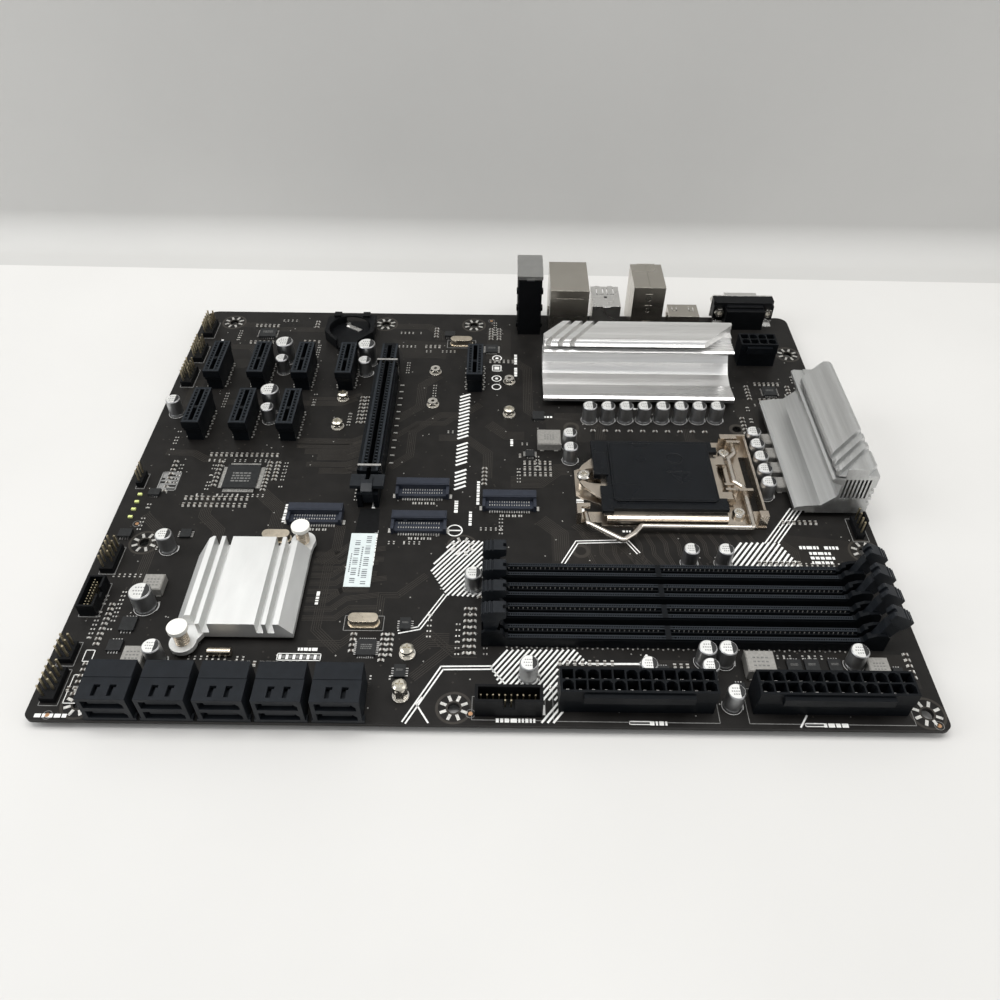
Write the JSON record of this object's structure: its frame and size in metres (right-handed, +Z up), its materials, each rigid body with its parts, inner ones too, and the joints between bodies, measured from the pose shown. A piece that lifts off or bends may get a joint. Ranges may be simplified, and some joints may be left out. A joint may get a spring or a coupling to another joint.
{
  "type": "computer motherboard",
  "caption": "Full size computer motherboard with caged CPU socket, memory and card slots, bare aluminium heatsinks, rear connector stacks and moving latches.",
  "frame": {"origin": "centre of the datum mounting hole in the rear row, on the underside of the laminate", "axes": "+X along the board towards the power connector side, +Y towards the rear connectors, +Z up out of the component side"},
  "size_m": [0.3048, 0.2511, 0.0373],
  "materials": {
    "aluminium": "brushed along the length",
    "black_plastic": "moulded matt",
    "blue_grey_plastic": "moulded satin",
    "can_aluminium": "bright can",
    "cap_plastic": "fine texture",
    "chip_ceramic": "glazed",
    "chipset_aluminium": "satin",
    "choke_ferrite": "pressed powder",
    "crystal_metal": "satin nickel",
    "dark_steel": "black zinc",
    "gold": "gold flash",
    "ic_epoxy": "matt",
    "laminate": "satin solder mask over glass laminate",
    "latch_plastic": "moulded satin",
    "nickel_steel": "satin nickel",
    "package_green": "satin",
    "pad": "soft pad",
    "screw_steel": "bright zinc",
    "shell_beige": "matt nickel",
    "shell_bright": "bright nickel",
    "shell_grey": "satin",
    "slot_plastic": "moulded satin",
    "spring_wire": "bright wire",
    "standoff_metal": "nickel over brass",
    "tin": "bright tin",
    "white_plastic": "smooth nylon"
  },
  "bodies": {
    "board": {"pcb": "laminate", "solder_tails": "tin", "socket_backplate": "dark_steel", "cpu_socket_body": "black_plastic", "socket_contacts": "gold", "ilm_frame": "nickel_steel", "ilm_screws": "nickel_steel", "rear_heatsink": "aluminium", "side_heatsink": "aluminium", "small_screws": "screw_steel", "thermal_pads": "pad", "chipset_package": "package_green", "chipset_heatsink": "chipset_aluminium", "push_spring_rear": "spring_wire", "push_spring_front": "spring_wire", "dimm_slots": "slot_plastic", "pcie_x16_slot": "slot_plastic", "pcie_x16_clips": "tin", "pcie_x1_slots": "slot_plastic", "slot_contacts": "gold", "m2_sockets": "blue_grey_plastic", "m2_standoffs": "standoff_metal", "sata_housings": "blue_grey_plastic", "power_headers": "slot_plastic", "power_pins": "tin", "box_headers": "black_plastic", "pin_header_bases": "black_plastic", "header_pins": "gold", "battery_holder": "black_plastic", "battery_contact": "tin", "audio_body": "black_plastic", "audio_shell": "shell_grey", "lan_usb_shell": "shell_beige", "usb_shell": "shell_bright", "ps2_usb_shell": "shell_beige", "hdmi_shell": "shell_beige", "io_inserts": "black_plastic", "vga_shell": "shell_bright", "vga_body": "black_plastic", "vga_hex_posts": "nickel_steel", "capacitors": "can_aluminium", "chokes": "choke_ferrite", "ic_packages": "ic_epoxy", "ic_leads": "tin", "crystals": "crystal_metal", "smd_parts": "chip_ceramic"},
    "load_lever": {"load_lever": "nickel_steel"},
    "load_plate": {"load_plate": "nickel_steel"},
    "socket_cap": {"socket_cap": "cap_plastic"},
    "x16_latch": {"pcie_x16_latch": "slot_plastic"},
    "pin_rear": {"push_pin_rear": "white_plastic"},
    "pin_front": {"push_pin_front": "white_plastic"},
    "latch_l1": {"latch_left_1": "latch_plastic"},
    "latch_r1": {"latch_right_1": "latch_plastic"},
    "latch_l2": {"latch_left_2": "latch_plastic"},
    "latch_r2": {"latch_right_2": "latch_plastic"},
    "latch_l3": {"latch_left_3": "latch_plastic"},
    "latch_r3": {"latch_right_3": "latch_plastic"},
    "latch_l4": {"latch_left_4": "latch_plastic"},
    "latch_r4": {"latch_right_4": "latch_plastic"}
  },
  "joints": [
    {"name": "latch_left_1_hinge", "type": "hinge", "parent": "board", "child": "latch_l1", "pos_m": [0.01163, -0.17074, 0.005], "axis": [0, 1, 0], "range_deg": [-25, 0]},
    {"name": "latch_right_1_hinge", "type": "hinge", "parent": "board", "child": "latch_r1", "pos_m": [0.14743, -0.17074, 0.005], "axis": [0, 1, 0], "range_deg": [-25, 0]},
    {"name": "latch_left_2_hinge", "type": "hinge", "parent": "board", "child": "latch_l2", "pos_m": [0.01163, -0.18024, 0.005], "axis": [0, 1, 0], "range_deg": [-25, 0]},
    {"name": "latch_right_2_hinge", "type": "hinge", "parent": "board", "child": "latch_r2", "pos_m": [0.14743, -0.18024, 0.005], "axis": [0, 1, 0], "range_deg": [-25, 0]},
    {"name": "latch_left_3_hinge", "type": "hinge", "parent": "board", "child": "latch_l3", "pos_m": [0.01163, -0.18974, 0.005], "axis": [0, 1, 0], "range_deg": [-25, 0]},
    {"name": "latch_right_3_hinge", "type": "hinge", "parent": "board", "child": "latch_r3", "pos_m": [0.14743, -0.18974, 0.005], "axis": [0, 1, 0], "range_deg": [-25, 0]},
    {"name": "latch_left_4_hinge", "type": "hinge", "parent": "board", "child": "latch_l4", "pos_m": [0.01163, -0.19924, 0.005], "axis": [0, 1, 0], "range_deg": [-25, 0]},
    {"name": "latch_right_4_hinge", "type": "hinge", "parent": "board", "child": "latch_r4", "pos_m": [0.14743, -0.19924, 0.005], "axis": [0, 1, 0], "range_deg": [-25, 0]},
    {"name": "x16_latch_hinge", "type": "hinge", "parent": "board", "child": "x16_latch", "pos_m": [-0.03917, -0.13024, 0.0058], "axis": [1, 0, 0], "range_deg": [0, 25]},
    {"name": "lever_hinge", "type": "hinge", "parent": "board", "child": "load_lever", "pos_m": [0.11543, -0.12384, 0.0052], "axis": [0, 1, 0], "range_deg": [0, 120]},
    {"name": "plate_hinge", "type": "hinge", "parent": "board", "child": "load_plate", "pos_m": [0.10963, -0.11914, 0.0046], "axis": [0, 1, 0], "range_deg": [0, 96]},
    {"name": "cap_lift", "type": "slide", "parent": "load_plate", "child": "socket_cap", "axis": [0, 0, 1], "range_m": [0, 0.006]},
    {"name": "push_pin_rear_slide", "type": "slide", "parent": "board", "child": "pin_rear", "axis": [0, 0, -1], "range_m": [0, 0.002], "deforming": ["push_spring_rear"]},
    {"name": "push_pin_front_slide", "type": "slide", "parent": "board", "child": "pin_front", "axis": [0, 0, -1], "range_m": [0, 0.002], "deforming": ["push_spring_front"]}
  ],
  "couplings": [
    {"joint": "plate_hinge", "follows": "lever_hinge", "ratio": 0.8}
  ]
}
